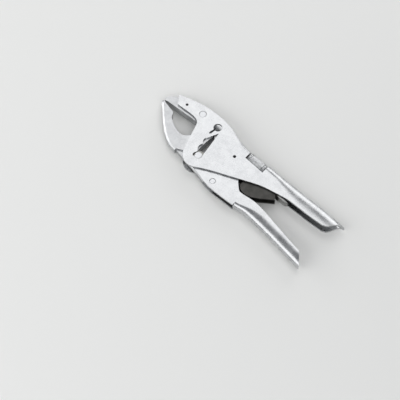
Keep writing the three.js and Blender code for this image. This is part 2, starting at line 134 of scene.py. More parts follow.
# The room is light overhead and dim towards the horizon, so round edges and grips show soft darker bands.
world = bpy.data.worlds.new("room")
world.use_nodes = True
room = world.node_tree
room.nodes.clear()
direction = add_node(room, "ShaderNodeTexCoord")
height = add_node(room, "ShaderNodeSeparateXYZ", links={"Vector": direction.outputs["Generated"]})
glow = two_tone(room, height.outputs["Z"], 0.05, "#6F7275", 0.75, "#B4B6B9")
backdrop_glow = add_node(room, "ShaderNodeBackground", {"Strength": 0.62}, {"Color": glow.outputs["Color"]})
add_node(room, "ShaderNodeOutputWorld", links={"Surface": backdrop_glow.outputs[0]})
bpy.context.scene.world = world
bpy.context.scene.view_settings.view_transform = "Standard"

floor_material, tree = new_material("pale_bench_laminate")
shader = add_node(tree, "ShaderNodeBsdfPrincipled", {"Base Color": linear("#EFEFED"), "Roughness": 0.6})
add_node(tree, "ShaderNodeOutputMaterial", links={"Surface": shader.outputs[0]})
floor_mesh = bpy.data.meshes.new("floor")
reach = 3.0
floor_corners = [(-reach, -reach, 0), (reach, -reach, 0), (reach, reach, 0), (-reach, reach, 0)]
floor_mesh.from_pydata(floor_corners, [], [(0, 1, 2, 3)])
floor = bpy.data.objects.new("floor", floor_mesh)
floor.location.z = -0.0002
floor_mesh.materials.append(floor_material)
bpy.context.scene.collection.objects.link(floor)


# Fixed handle: one 2 mm steel stamping. Its jaw end is two flat cheeks, and behind them the sheet is folded
# round into a grip that is open underneath. It is tumbled smooth, then plated in satin nickel and chrome.
cheek_width = 14.0
frame_sheet = 2.0
mid = cheek_width / 2
lowest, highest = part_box("jaw_pivot_pin")
pivot_x, pivot_y = 70.6, -29.6  # the jaw pivot, measured in mm from the jaw tip
to_row = Matrix.Translation(Vector((
    (lowest.x + highest.x) / 2 - pivot_x / 1000,
    (lowest.y + highest.y) / 2 - pivot_y / 1000,
    0,
))) @ Matrix.Scale(0.001, 4)


def curve(*corners, steps=10):
    """A smooth line through all the corners."""
    made = []
    last = len(corners) - 1
    for i in range(last):
        before, a, b, after = (corners[min(max(k, 0), last)] for k in (i - 1, i, i + 1, i + 2))
        for step in range(steps):
            t = step / steps
            spot = []
            for p, q, r, s in zip(before, a, b, after):
                v0, v1 = (r - p) / 2, (s - q) / 2
                cubic, square = 2 * q - 2 * r + v0 + v1, -3 * q + 3 * r - 2 * v0 - v1
                spot.append(cubic * t**3 + square * t**2 + v0 * t + q)
            made.append(tuple(spot))
    made.append(tuple(corners[-1]))
    return made


def arc(centre, radius, start, end, steps=24):
    """Points on a circle, with the angles in degrees."""
    turns = [math.radians(start + (end - start) * i / steps) for i in range(steps + 1)]
    return [(centre[0] + radius * math.cos(t), centre[1] + radius * math.sin(t)) for t in turns]


def tidy_outline(corners, least=0.02):
    """The outline without doubled corners, run anticlockwise."""
    kept = []
    for corner in corners:
        if not kept or math.dist(corner, kept[-1]) > least:
            kept.append(corner)
    if math.dist(kept[0], kept[-1]) < least:
        kept.pop()
    area = sum(a[0] * b[1] - b[0] * a[1] for a, b in zip(kept, kept[1:] + kept[:1]))
    return kept if area > 0 else kept[::-1]


def body_of(name, points, faces):
    """A closed mesh in millimetres from the jaw tip."""
    mesh = bpy.data.meshes.new(name)
    mesh.from_pydata(points, [], faces)
    mesh.update()
    made = bpy.data.objects.new(name, mesh)
    bpy.context.scene.collection.objects.link(made)
    return made


def plate(corners, width, name="tool"):
    """A flat blank of that width, centred between the cheeks."""
    rim = tidy_outline(corners)
    count = len(rim)
    points = [(x, y, mid - width / 2) for x, y in rim] + [(x, y, mid + width / 2) for x, y in rim]
    faces = [tuple(range(count))[::-1], tuple(range(count, 2 * count))]
    faces += [(i, (i + 1) % count, (i + 1) % count + count, i + count) for i in range(count)]
    return body_of(name, points, faces)


def punch(centre, radius, width=24):
    """A round blank, or the drill for a hole right through."""
    return plate(arc(centre, radius, 0, 360, 64), width)


def block(x0, x1, y0, y1, z0, z1):
    """A plain box between two places on each axis."""
    points = [(x, y, z) for z in (z0, z1) for x, y in ((x0, y0), (x1, y0), (x1, y1), (x0, y1))]
    faces = [(3, 2, 1, 0), (4, 5, 6, 7), (0, 1, 5, 4), (1, 2, 6, 5), (2, 3, 7, 6), (3, 0, 4, 7)]
    return body_of("tool", points, faces)


def work(body, tool, how):
    """Cuts the body with a tool, joins them or keeps what they share, and uses the tool up."""
    step = body.modifiers.new(how, "BOOLEAN")
    step.object = tool
    step.operation = how
    step.solver = "MANIFOLD"
    seen = body.evaluated_get(bpy.context.evaluated_depsgraph_get())
    mesh = bpy.data.meshes.new_from_object(seen)
    body.modifiers.clear()
    body.data = mesh
    bpy.data.objects.remove(tool)
    return body


def cut(body, *tools):
    """The body with each tool taken away from it."""
    for tool in tools:
        work(body, tool, "DIFFERENCE")
    return body


def join(body, *others):
    """The body with the others welded to it."""
    for other in others:
        work(body, other, "UNION")
    return body


def common(body, tool):
    """Only what the body shares with the tool."""
    return work(body, tool, "INTERSECT")


def ramp(x, low, high):
    """An even rise from 0 to 1 between two places."""
    t = min(max((x - low) / (high - low), 0), 1)
    return t * t * (3 - 2 * t)


def height_at(line, x):
    """How high a line of points is at x."""
    for (x0, y0), (x1, y1) in zip(line, line[1:]):
        if x0 <= x <= x1 and x1 > x0:
            return y0 + (y1 - y0) * (x - x0) / (x1 - x0)
    return line[0][1] if x < line[0][0] else line[-1][1]


def folded_sheet(stations, towards, inset, round_steps=14):
    """A solid through sections of a sheet whose sides round over into a back, facing +Y or -Y."""
    rings = []
    for x, back, crown, half in stations:
        wide, deep = max(half - inset, 0.5), max(crown - inset, 0.4)
        corner = min(wide - 0.05, deep)
        crest = back - towards * inset
        ring = [(crest - towards * 90, -wide)]
        for i in range(round_steps + 1):
            turn = i / round_steps * math.pi / 2
            y = crest - towards * deep * (1 - math.sin(turn))
            ring.append((y, -(wide - corner) - corner * math.cos(turn)))
        ring += [(y, -z) for y, z in reversed(ring)]
        rings.append([(x, y, mid + z) for y, z in ring])
    count = len(rings[0])
    points = [spot for ring in rings for spot in ring]
    faces = []
    for i in range(len(rings) - 1):
        for j in range(count):
            a, b = i * count + j, i * count + (j + 1) % count
            face = (a, b, b + count, a + count)
            faces.append(face if towards > 0 else face[::-1])
    first, last = tuple(range(count)), tuple(range(len(points) - count, len(points)))
    faces += [first[::-1], last] if towards > 0 else [first, last[::-1]]
    return body_of("tool", points, faces)


def finish_piece(piece, name, node, body, material, edge=0.22, sharp=32):
    """Moves a finished blank into place, rounds its edges, and gives it its finish and its body."""
    piece.name = name
    mesh = piece.data
    mesh.name = name
    shaped = bmesh.new()
    shaped.from_mesh(mesh)
    bmesh.ops.remove_doubles(shaped, verts=shaped.verts, dist=0.004)
    bmesh.ops.dissolve_limit(
        shaped, angle_limit=math.radians(0.4), verts=shaped.verts, edges=shaped.edges,
        use_dissolve_boundaries=False,
    )
    bmesh.ops.recalc_face_normals(shaped, faces=shaped.faces)
    shaped.to_mesh(mesh)
    shaped.free()
    mesh.transform(to_row)
    mesh.materials.clear()
    mesh.materials.append(material)
    for face in mesh.polygons:
        face.use_smooth = True
    if edge:
        rounded = piece.modifiers.new("tumbled_edges", "BEVEL")
        rounded.width = edge / 1000
        rounded.segments = 2
        rounded.limit_method = "ANGLE"
        rounded.angle_limit = math.radians(sharp)
        rounded.use_clamp_overlap = True
        rounded.miter_outer = "MITER_ARC"
        flat = piece.modifiers.new("flat_faces", "WEIGHTED_NORMAL")
        flat.keep_sharp = True
    else:
        mesh.set_sharp_from_angle(angle=math.radians(sharp))
    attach(piece, body)
    if node:
        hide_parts(node)
    return piece


def noise(tree, at, size_mm, detail, roughness=0.5):
    """Cloudy noise over the places it is linked to, of that many millimetres."""
    return add_node(tree, "ShaderNodeTexNoise",
                    {"Scale": 1000 / size_mm, "Detail": detail, "Roughness": roughness}, {"Vector": at})


def metal_surface(tree, colour, roughness, normal=None):
    """Metal on the material's output, with its colour, roughness and relief linked in."""
    links = {"Base Color": colour, "Roughness": roughness}
    if normal:
        links["Normal"] = normal
    metal = add_node(tree, "ShaderNodeBsdfPrincipled", {"Metallic": 1.0}, links)
    add_node(tree, "ShaderNodeOutputMaterial", links={"Surface": metal.outputs[0]})


# Satin nickel-chrome plating over tumbled steel: a mid-soft mirror of the room, in cloudy patches of about
# 9 mm, with faint hairlines from handling. The tumbled grain is finer than a tenth of a millimetre, too fine
# to show, so it is drawn coarser: 0.6 mm on sheet, 0.85 mm on forgings.
def satin_plating(name, light="#D3D4D5", dark="#A6A7A9", smooth=0.2, rough=0.32, grain_mm=0.6, dent=0.004):
    material, tree = new_material(name)
    place = add_node(tree, "ShaderNodeTexCoord")
    clouds = noise(tree, place.outputs["Object"], 9, 4.0, 0.6)
    grain = noise(tree, place.outputs["Object"], grain_mm * 3, 3.0, 0.65)
    stretch = add_node(tree, "ShaderNodeMapping", {"Rotation": (0, 0, 0.5), "Scale": (0.12, 1.6, 1.6)},
                       {"Vector": place.outputs["Object"]})
    hairlines = noise(tree, stretch.outputs["Vector"], 0.9, 2.0)
    tone = add_node(tree, "ShaderNodeMath", {"operation": "MULTIPLY_ADD", 1: 0.62, 2: 0.16},
                    {0: clouds.outputs["Fac"]})
    tone_grain = add_node(tree, "ShaderNodeMath", {"operation": "MULTIPLY_ADD", 1: 0.18},
                          {0: grain.outputs["Fac"], 2: tone.outputs[0]})
    colour = two_tone(tree, tone_grain.outputs[0], 0.3, dark, 0.75, light)
    haze = add_node(tree, "ShaderNodeMapRange",
                    {"From Min": 0.3, "From Max": 0.7, "To Min": smooth, "To Max": rough},
                    {"Value": tone_grain.outputs[0]})
    relief = add_node(tree, "ShaderNodeMath", {"operation": "MULTIPLY_ADD", 1: 0.35},
                      {0: hairlines.outputs["Fac"], 2: grain.outputs["Fac"]})
    bump = add_node(tree, "ShaderNodeBump", {"Strength": 0.5, "Distance": dent / 1000},
                    {"Height": relief.outputs[0]})
    metal_surface(tree, colour.outputs["Color"], haze.outputs["Result"], bump.outputs["Normal"])
    return material


satin_sheet = satin_plating("satin_nickel_chrome_on_tumbled_sheet")

grip_end = 235.0
back_start = 78.0
jaw_pivot = (pivot_x, pivot_y)
fixed_jaw_rivet_at = (42.5, 11.2)
locating_pin_at = (22.5, 9.7)
spring_anchor = (100.0, -7.4)
link_pivot = (154.0, -1.2)
nut_centre = (121.5, 2.2)
nut_length = 22.4
nut_radius = 6.8
screw_slope = math.atan2(link_pivot[1] - nut_centre[1], link_pivot[0] - nut_centre[0])

top_edge = curve((8.2, 13.9), (18.4, 16.6), (33.1, 19.7), (49.3, 20.6), (66, 19.2), (back_start + 2, 15.8))
back_line = curve(
    (66, 19.2), (back_start + 2, 15.8), (91, 11.7), (103, 9), (113, 8.5), (133, 8.9),
    (156, 7.2), (181, 5.7), (207, 4.3), (grip_end, 1.6), (grip_end + 2, 1.5), steps=24,
)
fixed_outline = (
    top_edge
    + [(back_start + 2, 60), (grip_end, 60), (grip_end, 0.3)]
    + curve((grip_end, 0.3), (grip_end - 3.4, 0), (grip_end - 7, -2.6), (grip_end - 10.2, -7),
            (grip_end - 13.4, -11), (grip_end - 18, -12.9))
    + curve((grip_end - 18, -12.9), (200, -13), (185, -12.3), (172, -12.2), (156, -14.4), (141, -17.3),
            (121, -24.5), (108.3, -29.3), (95.5, -34), (84, -38.9), (75.6, -43.1), (70, -44.8), (63.4, -43.6),
            (58, -39.4), (54.3, -33.4))
    + curve((45.6, -3.2), (44.3, -0.5), (41.6, 1.9), (37.2, 3.3), (31, 4))
    + curve((16.4, 4), (14.7, 4.3), (13.8, 5.4))
)


def grip_depth(x):
    """How deep the back is rounded: almost square at the cheeks, and fully round along the grip."""
    return 0.7 + 2.0 * ramp(x, 80, 100) + 6.3 * ramp(x, 96, 140) + 8 * ramp(x, 143, 185)


fixed_stations = [
    (x, height_at(back_line, x), grip_depth(x), mid)
    for x in (back_start + (grip_end + 1 - back_start) * i / 60 for i in range(61))
]


def wedge_curve(a, control, b, steps=10):
    """A curve between two points that bends towards a third."""
    return [
        tuple((1 - t) ** 2 * p + 2 * t * (1 - t) * c + t * t * q for p, c, q in zip(a, control, b))
        for t in (i / steps for i in range(steps + 1))
    ]


# The wedge-shaped slot has three round pockets, and the jaw pivot pin sits in the lowest one.
pin_pocket = 4.1
slot_edge = (
    [(70.3, 3.6), (64.6, -7.4)]
    + wedge_curve((64.6, -7.4), (60.4, -11.6), (65.4, -16))
    + wedge_curve((65.4, -16), (61.6, -21.4), (66.8, -26.4))
    + [(66.2, -28.2)]
    + wedge_curve((66.2, -28.2), (63.4, -32), (67.2, -34))
    + arc(jaw_pivot, pin_pocket, 225, 385, 40)
)
keyhole_at = (64.9, 8.4)
keyhole_radius = 4.6
key_slit = curve((62.8, 5.4), (62.4, 2.2), (61.7, -0.2), (62, -2.4), (63.6, -2.2), (64.4, 0.6), (64.9, 5.4),
                 steps=5)


def along_screw(distance, offset=0.0):
    """A point on the tool's middle plane, a distance along the screw from the nut's middle."""
    return (
        nut_centre[0] + distance * math.cos(screw_slope) - offset * math.sin(screw_slope),
        nut_centre[1] + distance * math.sin(screw_slope) + offset * math.cos(screw_slope),
    )


def turned(profile, steps=64, name="turned"):
    """A body of revolution about the screw axis, from pairs of distance along it and radius."""
    points, faces = [], []
    way = Vector((math.cos(screw_slope), math.sin(screw_slope), 0))
    aside = Vector((-math.sin(screw_slope), math.cos(screw_slope), 0))
    for distance, radius in profile:
        centre = Vector((nut_centre[0], nut_centre[1], mid)) + way * distance
        for j in range(steps):
            turn = 2 * math.pi * j / steps
            rise = Vector((0, 0, radius * math.sin(turn)))
            points.append(tuple(centre + aside * radius * math.cos(turn) + rise))
    for i in range(len(profile) - 1):
        for j in range(steps):
            a, b = i * steps + j, i * steps + (j + 1) % steps
            faces.append((a, b, b + steps, a + steps))
    if profile[0] != profile[-1]:
        faces += [tuple(range(steps))[::-1], tuple(range(len(points) - steps, len(points)))]
    return body_of(name, points, faces)


# The nut's window runs through both cheeks and the back, parallel to the screw.
slide_gap = 0.3
window_half = nut_length / 2 * math.cos(screw_slope) + nut_radius * abs(math.sin(screw_slope)) + slide_gap
chord = math.sqrt(nut_radius**2 - (mid - frame_sheet) ** 2) + slide_gap
window_floor = nut_centre[1] - chord / math.cos(screw_slope)
fall = math.tan(screw_slope) * window_half
window = [
    (nut_centre[0] - window_half, window_floor - fall),
    (nut_centre[0] + window_half, window_floor + fall),
    (nut_centre[0] + window_half, 60),
    (nut_centre[0] - window_half, 60),
]

fixed_handle = plate(fixed_outline, 24)
cheeks_outside = block(-5, back_start + 1, -80, 60, 0, cheek_width)
common(fixed_handle, join(cheeks_outside, folded_sheet(fixed_stations, 1, 0)))
cut(
    fixed_handle,
    block(-6, back_start + 0.5, -90, 70, frame_sheet, cheek_width - frame_sheet),
    folded_sheet(fixed_stations, 1, frame_sheet),
    plate(slot_edge, 24),
    punch(keyhole_at, keyhole_radius),
    plate(key_slit, 24),
    punch(fixed_jaw_rivet_at, 3.9),
    punch(locating_pin_at, 1.5),
    punch(spring_anchor, 1.7),
    plate(window, 24),
    turned([(-30, 3.4), (30, 3.4)], 40),
)
finish_piece(fixed_handle, "fixed_handle_stamping", "fixed_handle", "frame_body",
             satin_sheet, 0.3)


# Fixed jaw: a 9.4 mm forging held between the cheeks. Its working face is cut with cross teeth, and its
# front end is rounded off where it meets the moving jaw. It is plated together with the handle.
tooth_pitch = 1.6
tooth_depth = 0.7
jaw_width = 9.4


def teeth(start, end, depth):
    """A row of cross teeth along an edge, to that depth on its left side."""
    along = (end[0] - start[0], end[1] - start[1])
    length = math.hypot(*along)
    count = round(length / tooth_pitch)
    aside = (-along[1] / length * depth, along[0] / length * depth)
    row = []
    for i in range(count):
        # a narrow flat is left on each crest, as a milling cutter leaves it
        for share, drop in ((-0.08, 0), (0.08, 0), (0.46, 1), (0.54, 1)):
            t = (i + share) / count
            row.append((start[0] + along[0] * t + aside[0] * drop, start[1] + along[1] * t + aside[1] * drop))
    return row + [end]


forged_jaw = satin_plating("satin_nickel_chrome_on_tumbled_forging", "#D6D7D8", "#97989A", smooth=0.26,
                           rough=0.42, grain_mm=0.85, dent=0.015)

fixed_jaw = plate(
    curve((0.1, 0.3), (-0.8, 1.6), (-0.9, 3.6), (0.5, 6.3), (3.4, 9.1), (6.8, 10.6), (12, 12.9), (18.4, 14.9),
          (33.1, 17.8), (49.3, 18.6), (54.6, 17.8), (57.8, 15.6), (59, 11.8), (58.6, 7.4), (56, 4), (52, 3.2),
          (45, 2.6), (40.6, 1.3))
    + teeth((38.6, 0.9), (2, 0.9), -tooth_depth),
    jaw_width,
)
cut(fixed_jaw, punch(fixed_jaw_rivet_at, 3.9), punch(locating_pin_at, 1.5))
finish_piece(fixed_jaw, "fixed_jaw_forging", "fixed_jaw", "frame_body", forged_jaw,
             0.18, 40)


# Rivets and pins: turned steel, driven through the stack and ground flush, so that each shows as a round with a
# hair-thin dark joint. The two small ones sit in blind holes, below the cheeks, and their near-black steel is
# painted shade for those dark holes.
def rivet(name, node, body, material, at, radius, width, chamfer=0.35, dish=0.0):
    rings = [(0, -width / 2 + dish), (radius - chamfer, -width / 2), (radius, -width / 2 + chamfer)]
    rings += [(radius, width / 2 - chamfer), (radius - chamfer, width / 2), (0, width / 2 - dish)]
    steps = 72
    points, faces = [], []
    for r, z in rings:
        for j in range(steps if r else 1):
            turn = 2 * math.pi * j / steps
            points.append((at[0] + r * math.cos(turn), at[1] + r * math.sin(turn), mid + z))
    for j in range(steps):
        k = (j + 1) % steps
        faces.append((0, 1 + k, 1 + j))
        for i in range(3):
            low, high = 1 + i * steps, 1 + (i + 1) * steps
            faces.append((low + j, low + k, high + k, high + j))
        faces.append((len(points) - 1, 1 + 3 * steps + j, 1 + 3 * steps + k))
    return finish_piece(body_of(name, points, faces), name, node, body, material, 0, 30)


# Ground and plated rivet steel: a little brighter than the sheet, with the fine circles that grinding leaves.
def ground_rivet(name, at):
    material, tree = new_material(name)
    place = add_node(tree, "ShaderNodeTexCoord")
    centre = tuple(to_row @ Vector((at[0], at[1], mid)))
    from_centre = add_node(tree, "ShaderNodeVectorMath", {"operation": "SUBTRACT", 1: centre},
                           {0: place.outputs["Object"]})
    rings = add_node(tree, "ShaderNodeTexWave",
                     {"wave_type": "RINGS", "rings_direction": "Z", "Scale": 1000 / 4.0, "Distortion": 1.5,
                      "Detail": 2.0, "Detail Scale": 2.0}, {"Vector": from_centre.outputs[0]})
    grain = noise(tree, place.outputs["Object"], 1.1, 3.0)
    haze = add_node(tree, "ShaderNodeMapRange", {"To Min": 0.26, "To Max": 0.44},
                    {"Value": grain.outputs["Fac"]})
    relief = add_node(tree, "ShaderNodeMath", {"operation": "MULTIPLY_ADD", 1: 0.4},
                      {0: rings.outputs["Fac"], 2: grain.outputs["Fac"]})
    bump = add_node(tree, "ShaderNodeBump", {"Strength": 0.4, "Distance": 0.000008},
                    {"Height": relief.outputs[0]})
    metal = add_node(tree, "ShaderNodeBsdfPrincipled", {"Metallic": 1.0, "Base Color": linear("#CDCED0")},
                     {"Roughness": haze.outputs["Result"], "Normal": bump.outputs["Normal"]})
    add_node(tree, "ShaderNodeOutputMaterial", links={"Surface": metal.outputs[0]})
    return material


# Oiled dark steel: nearly black, with a soft sheen and small rusty-brown and blue clouds from tempering.
# On the two small pins in blind holes this near-black is painted shade for the dark holes they sit in.
dark_steel, tree = new_material("oil_blackened_steel_and_hole_shade")
place = add_node(tree, "ShaderNodeTexCoord")
clouds = noise(tree, place.outputs["Object"], 4, 5.0)
colour = two_tone(tree, clouds.outputs["Fac"], 0.35, "#23211F", 0.7, "#3A3B3D")
pits = noise(tree, place.outputs["Object"], 0.6, 2.0)
haze = add_node(tree, "ShaderNodeMapRange", {"To Min": 0.34, "To Max": 0.62}, {"Value": clouds.outputs["Fac"]})
bump = add_node(tree, "ShaderNodeBump", {"Strength": 0.5, "Distance": 0.00001}, {"Height": pits.outputs["Fac"]})
metal_surface(tree, colour.outputs["Color"], haze.outputs["Result"], bump.outputs["Normal"])

rivet("fixed_jaw_rivet_head", "fixed_jaw_rivet", "frame_body",
      ground_rivet("ground_steel_fixed_jaw_rivet", fixed_jaw_rivet_at), fixed_jaw_rivet_at, 3.7, cheek_width,
      dish=0.05)
# These two small pins get the near-black steel as painted shade for the dark holes they sit in.
rivet("jaw_locating_pin", "fixed_jaw_locating_pin", "frame_body", dark_steel,
      locating_pin_at, 1.3, 12.4)
rivet("jaw_pivot_rivet", "jaw_pivot_pin", "frame_body",
      ground_rivet("ground_steel_jaw_pivot", jaw_pivot), jaw_pivot, 3.9, cheek_width, dish=0.05)
rivet("spring_anchor_rivet", "spring_anchor_pin", "frame_body", dark_steel,
      spring_anchor, 1.5, 12.4)


# Jaw pivot washers: two stamped steel rings, which centre the thinner tail of the moving jaw between the
# cheeks. They are hidden, and of plain unplated steel.
link_width = 5.0
frame_inside = cheek_width - 2 * frame_sheet
washer_width = (frame_inside - link_width) / 2 - 2 * slide_gap
washer_level = (link_width + frame_inside) / 4
plain_washer = satin_plating("plain_stamped_washer_steel", "#A8A7A2", "#7F7E7A", 0.3, 0.5, 0.4, 0.01)
for place_name, level in (("near", washer_level), ("far", -washer_level)):
    ring = cut(punch(jaw_pivot, 6.5, washer_width), punch(jaw_pivot, 4.1))
    for corner in ring.data.vertices:
        corner.co.z += level
    finish_piece(ring, "pivot_washer_" + place_name, "jaw_pivot_washer_" + place_name, "frame_body",
                 plain_washer, 0.15)


# Moving jaw: a hooked forging. The thick head carries the upper row of teeth and a bevelled outer rim, and a
# thinner tail runs back between the cheeks to the rivet of the moving handle.
handle_pivot = (100.5, -43.0)
spring_hook = (86.0, -30.5)
tail_width = link_width


def grown(corners, by):
    """The outline with every side moved outwards."""
    rim = tidy_outline(corners, 0.1)
    made = []
    for i, here in enumerate(rim):
        before, after = rim[i - 1], rim[(i + 1) % len(rim)]
        normals = []
        for a, b in ((before, here), (here, after)):
            length = math.dist(a, b)
            normals.append(((b[1] - a[1]) / length, -(b[0] - a[0]) / length))
        across = (normals[0][0] + normals[1][0], normals[0][1] + normals[1][1])
        size = max(across[0] ** 2 + across[1] ** 2, 0.8)
        made.append((here[0] + 2 * by * across[0] / size, here[1] + 2 * by * across[1] / size))
    return rim, made


def bevelled(corners, width, deep, wide):
    """A blank whose rim slopes off towards both flat faces."""
    face, waist = grown(corners, wide)
    count = len(face)
    levels = ((face, -width / 2), (waist, -width / 2 + deep), (waist, width / 2 - deep), (face, width / 2))
    points = [(x, y, mid + z) for rim, z in levels for x, y in rim]
    faces = [tuple(range(count))[::-1], tuple(range(3 * count, 4 * count))]
    for level in range(3):
        for i in range(count):
            a, b = level * count + i, level * count + (i + 1) % count
            faces.append((a, b, b + count, a + count))
    return body_of("moving_jaw", points, faces)


def chamfer_tool(start, end, level, side, size):
    """A wedge along an edge that takes its corner off."""
    along = (Vector(end) - Vector(start)).normalized()
    inwards = Vector((along.y, -along.x))
    section = ((-4, -4 - size), (-4, 1), (size + 1, 1))
    points = [(*(Vector(spot) + inwards * d), level + side * h) for spot in (start, end) for d, h in section]
    faces = [(0, 1, 2), (5, 4, 3), (0, 3, 4, 1), (1, 4, 5, 2), (2, 5, 3, 0)]
    return body_of("tool", points, faces if side < 0 else [face[::-1] for face in faces])


rim_outline = curve((0.9, 4), (-0.3, 0.5), (0.2, -1.9), (3, -4.8), (7.4, -9.4), (16, -18.6), (25.4, -27.2),
                    (34.9, -33.6), (40.4, -35.9), (47, -37.4)) + [(80, -40), (80, 8)]
head_outline = (
    [(-9, 1), (-9, -50), (46.2, -50), (46.8, -37), (53, -34.4), (63.4, -33.4), (66.4, -31), (66.4, -27),
     (65.6, -24), (65.7, -13), (66.6, -6)]
    + curve((68, -0.6), (64, 0), (58, -2.4), (53.3, -7), (49.4, -13.6), (44.4, -19), (39.9, -20.6),
            (34.3, -19.8), (28.8, -17.7), (22.4, -13.9), (19.3, -11.2), (18.2, -9.6), (17.1, -6.5),
            (14.4, -4.5))
    + teeth((14.4, -4.5), (2, -0.8), tooth_depth)
    + [(0.4, -0.2), (-3, -0.2)]
)
tail_outline = (
    curve((48, -20), (58, -20.5), (66, -23), (71, -22), (75.4, -23.4), (79, -26.4), (83.2, -27.2),
          (86.6, -27.2), (89.4, -29.6), (91, -34), (95.4, -38.4), (101, -36.9), (105.6, -39.6), (106.6, -43.4),
          (104.4, -47.8), (100, -49.2), (95.2, -47.6))
    + [(92.2, -46.8)]
    + curve((92, -48.1), (88, -46.9), (80, -44.8), (73, -43.3), (67, -42.3), (58.2, -40), (52, -38.5))
    + [(46, -37.2), (38, -30)]
)
rim_deep, rim_wide = 1.4, 1.7
tail_chamfer = 1.5
moving_jaw = bevelled(rim_outline, jaw_width, rim_deep, rim_wide)
common(moving_jaw, plate(head_outline, 24))
cut(moving_jaw, punch(jaw_pivot, 7.5))
tail = plate(tail_outline, tail_width)
for side in (1, -1):
    cut(tail, chamfer_tool((93, -48.5), (60, -40.6), mid + side * tail_width / 2, side, tail_chamfer))
join(moving_jaw, tail)
mark_at = (46.5, -26.9)  # a shallow ring punched into the head's flat face
inspection_mark = cut(punch(mark_at, 3.1), punch(mark_at, 2.7, 26))
common(inspection_mark, block(40, 53, -34, -20, mid + jaw_width / 2 - 0.15, 20))
hook_way = math.atan2(spring_anchor[1] - spring_hook[1], spring_anchor[0] - spring_hook[0])
hook_slot = [
    (spring_hook[0] + x * math.cos(hook_way) - y * math.sin(hook_way),
     spring_hook[1] + x * math.sin(hook_way) + y * math.cos(hook_way))
    for x, y in ((-2.4, -2.7), (9.6, -2.7), (9.6, 2.7), (-2.4, 2.7))
]
cut(
    moving_jaw,
    plate(hook_slot, 2.5),
    inspection_mark,
    punch(jaw_pivot, 4.1),
    punch(handle_pivot, 3.25),
    punch(spring_hook, 1.3),
)
finish_piece(moving_jaw, "moving_jaw_forging", "moving_jaw", "jaw_body", forged_jaw,
             0.2, 30)
rivet("spring_hook_rivet", "spring_hook_pin", "jaw_body", dark_steel, spring_hook, 1.1,
      tail_width, 0.2)


# Moving handle: a 1.9 mm stamping. In front it is two flat cheeks that slide in between those of the fixed
# handle, open along the outer edge; behind, it flares to full width and folds round into a grip open on top.
handle_sheet = 1.9
grip_start = 133.0
handle_end = grip_end - 7.4
handle_back = curve((130, -51.5), (146, -51.3), (160, -52.4), (177, -54.8), (196, -58.1), (216, -61.9),
                    (grip_end - 8, -63.8), (grip_end, -65.2), steps=24)


def flare(x):
    """Half the handle's width: narrow in front, as wide as the fixed handle behind."""
    return jaw_width / 2 + (mid - jaw_width / 2) * ramp(x, 128, 152)


handle_outline = (
    curve((76.6, -43.9), (85, -45.9), (94, -48.8), (103, -50.5), (112, -51.1), (grip_start + 1, -51.5))
    + [(grip_start + 1, -90), (handle_end, -90), (handle_end, -63.2), (grip_end - 16, -51.9)]
    + curve((grip_end - 17.6, -50.5), (205, -47.8), (185, -43), (164, -37.9), (152, -35.8), (144, -35.3),
            (133, -35.3), (128.4, -34.4), (124.9, -31.2), (121.4, -27.6), (119, -24.6), (116.6, -22.6),
            (112, -22.8), (100, -26), (89, -29.8), (82.6, -35), (78.4, -38.6), (75.9, -42.2))
)
front_cheeks = [(x, -90, 5, flare(x)) for x in (75, 128, 129.5, 131, 132.2, grip_start + 0.4)]
grip_stations = [
    (x, height_at(handle_back, x), 5 + 6.5 * ramp(x, 134, 168), flare(x))
    for x in (grip_start + (grip_end - grip_start) * i / 52 for i in range(53))
]
moving_handle = plate(handle_outline, 24)
common(moving_handle, join(folded_sheet(front_cheeks, -1, 0), folded_sheet(grip_stations, -1, 0)))
cut(
    moving_handle,
    join(folded_sheet(front_cheeks, -1, handle_sheet), folded_sheet(grip_stations, -1, handle_sheet)),
    punch(handle_pivot, 3.25),
)
finish_piece(moving_handle, "moving_handle_stamping", "moving_handle", "handle_body",
             satin_sheet, 0.3)
rivet("handle_rivet_head", "handle_rivet", "handle_body",
      ground_rivet("ground_steel_handle_rivet", handle_pivot), handle_pivot, 3.05, jaw_width, dish=0.05)


# Toggle link: a small forged bar, oil-blackened. One end turns on a pin inside the moving handle and the
# other is forked round the flattened eye of the adjusting screw. It is what snaps over centre to lock.
toggle_pivot = (117.6, -29.2)
link_half = 4.2
screw_radius = 2.5
eye_thickness = 2.2
link_slope = math.atan2(link_pivot[1] - toggle_pivot[1], link_pivot[0] - toggle_pivot[0])
fork_radius = (link_half + screw_radius + 2 * slide_gap) / math.sin(link_slope - screw_slope)
lean = math.degrees(link_slope)
toggle_link = plate(
    arc(toggle_pivot, link_half, lean + 90, lean + 270, 28)
    + arc(link_pivot, link_half, lean - 90, lean + 90, 28),
    link_width,
)
cut(
    toggle_link,
    punch(link_pivot, fork_radius, eye_thickness + 2 * slide_gap),
    punch(toggle_pivot, 2.3),
    punch(link_pivot, 1.9),
)
finish_piece(toggle_link, "toggle_link_forging", "toggle_link", "link_body",
             dark_steel, 0.5)
rivet("toggle_rivet", "toggle_pin", "link_body", dark_steel, toggle_pivot, 2.1,
      link_width + 0.2, 0.2)


# Adjusting screw: a rolled M5 thread of 1 mm pitch, lightly oiled. Its rear end is flattened into an eye for
# the link's pin, and a wire ring sprung into a groove keeps its front end from being wound out of the nut.
thread_pitch = 1.0
thread_depth = 0.42
screw_front = -17.5
groove = (1.0, 2.4)
screw_steel, tree = new_material("lightly_oiled_rolled_thread_steel")
place = add_node(tree, "ShaderNodeTexCoord")
stain = noise(tree, place.outputs["Object"], 3, 4.0)
colour = two_tone(tree, stain.outputs["Fac"], 0.3, "#6E6D6A", 0.7, "#A09F9B")
haze = add_node(tree, "ShaderNodeMapRange", {"To Min": 0.22, "To Max": 0.45}, {"Value": stain.outputs["Fac"]})
metal_surface(tree, colour.outputs["Color"], haze.outputs["Result"])

reach_to_eye = math.dist(link_pivot, nut_centre)
shoulder = reach_to_eye - fork_radius - slide_gap


